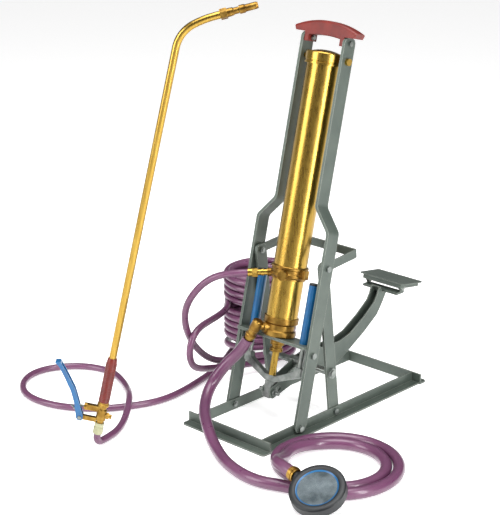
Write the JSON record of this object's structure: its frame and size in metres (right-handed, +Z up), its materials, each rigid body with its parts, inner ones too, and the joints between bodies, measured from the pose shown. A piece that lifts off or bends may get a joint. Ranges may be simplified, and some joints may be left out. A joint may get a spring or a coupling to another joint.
{
  "type": "foot operated piston sprayer",
  "caption": "Foot-operated piston sprayer on an angle-iron stand, with brass air vessel, pedal lever, trigger lance, delivery hose, and suction hose with strainer.",
  "frame": {"origin": "on the floor, under the middle of the front bar's flange", "axes": "+Z up, -Y to the front bar, +Y to the pedal, +X to the right seen from the front; the mast leans back by 13.4 degrees towards +Y"},
  "size_m": [1.0196, 0.898, 0.9732],
  "materials": {
    "frame_paint": "satin grey-green paint",
    "zinc_steel": "zinc plated",
    "spring_steel": "bright",
    "polished_brass": "polished",
    "cast_brass": "cast, dull",
    "red_plastic": "moulded",
    "blue_paint": "gloss",
    "black_plastic": "moulded",
    "leather_cup": "oiled",
    "cream_plastic": "moulded",
    "purple_hose": "translucent soft hose",
    "grey_mesh": "woven"
  },
  "bodies": {
    "stand": {"base_front_bar": "frame_paint", "base_rear_bar": "frame_paint", "base_rail_left": "frame_paint", "base_rail_right": "frame_paint", "upright_left": "frame_paint", "upright_right": "frame_paint", "strut_left": "frame_paint", "strut_right": "frame_paint", "brace_strap": "frame_paint", "cross_plate": "frame_paint", "frame_bolts": "zinc_steel", "handle_grip": "red_plastic", "stay_screws": "polished_brass", "vessel_shell": "polished_brass", "vessel_cap": "polished_brass", "vessel_collar": "cast_brass", "delivery_nipple": "polished_brass", "delivery_ferrule": "polished_brass", "pump_barrel": "polished_brass", "base_casting": "cast_brass", "suction_elbow": "cast_brass", "gland_nut": "cast_brass", "spring_tubes": "blue_paint", "tube_stoppers": "black_plastic", "return_springs": "spring_steel", "pivot_shaft": "zinc_steel", "shaft_nuts": "zinc_steel", "hose_connector": "cream_plastic", "valve_body": "cast_brass", "lance_ferrule": "cast_brass", "lance_grip": "red_plastic", "lance_tube": "polished_brass", "nozzle_nut": "cast_brass", "nozzle_body": "cast_brass", "trigger_pin": "zinc_steel", "delivery_hose_lead": "purple_hose", "delivery_hose_loop": "purple_hose", "delivery_coil": "purple_hose", "delivery_hose_tail": "purple_hose", "suction_hose_lead": "purple_hose", "suction_coil": "purple_hose", "suction_hose_tail": "purple_hose", "strainer_ferrule": "cast_brass", "strainer_body": "black_plastic", "strainer_mesh": "grey_mesh"},
    "plunger": {"plunger_tube": "polished_brass", "piston_cup": "leather_cup", "drive_yoke": "zinc_steel", "clevis_tongue": "zinc_steel", "clevis_pin": "zinc_steel", "push_rods": "zinc_steel"},
    "lever": {"pedal_arm": "frame_paint", "lever_hub": "zinc_steel", "pedal_bracket": "frame_paint", "pedal_pin": "zinc_steel"},
    "pedal": {"pedal_plate": "frame_paint"},
    "trigger": {"trigger_lever": "blue_paint", "trigger_screw": "zinc_steel"},
    "stem": {"valve_stem": "zinc_steel"},
    "nozzle": {"nozzle_cap": "cast_brass"}
  },
  "joints": [
    {"name": "pedal_lever", "type": "hinge", "parent": "stand", "child": "lever", "pos_m": [0, 0.2417, 0.111], "axis": [-1, 0, 0], "range_deg": [0, 24], "stiffness_Nm_per_rad": 12, "springref_deg": -25.78},
    {"name": "plunger_slide", "type": "slide", "parent": "stand", "child": "plunger", "axis": [0, 0.2317, 0.9728], "range_m": [0, 0.0445]},
    {"name": "pedal_tilt", "type": "hinge", "parent": "lever", "child": "pedal", "pos_m": [0, 0.551, 0.224], "axis": [1, 0, 0], "range_deg": [-20, 25]},
    {"name": "trigger_squeeze", "type": "hinge", "parent": "stand", "child": "trigger", "pos_m": [-0.19889, -0.24862, 0.07449], "axis": [-0.6871, 0.7266, 0], "range_deg": [0, 15], "stiffness_Nm_per_rad": 1, "springref_deg": -20.05},
    {"name": "valve_stem_slide", "type": "slide", "parent": "stand", "child": "stem", "axis": [0.7102, 0.6716, -0.2113], "range_m": [0, 0.0075]},
    {"name": "nozzle_turn", "type": "hinge", "parent": "stand", "child": "nozzle", "pos_m": [0.06137, -0.00251, 0.95986], "axis": [0.7025, 0.6643, 0.2554], "continuous": true}
  ],
  "couplings": [
    {"joint": "plunger_slide", "follows": "pedal_lever", "m_per_rad": 0.105},
    {"joint": "valve_stem_slide", "follows": "trigger_squeeze", "m_per_rad": 0.0275}
  ]
}
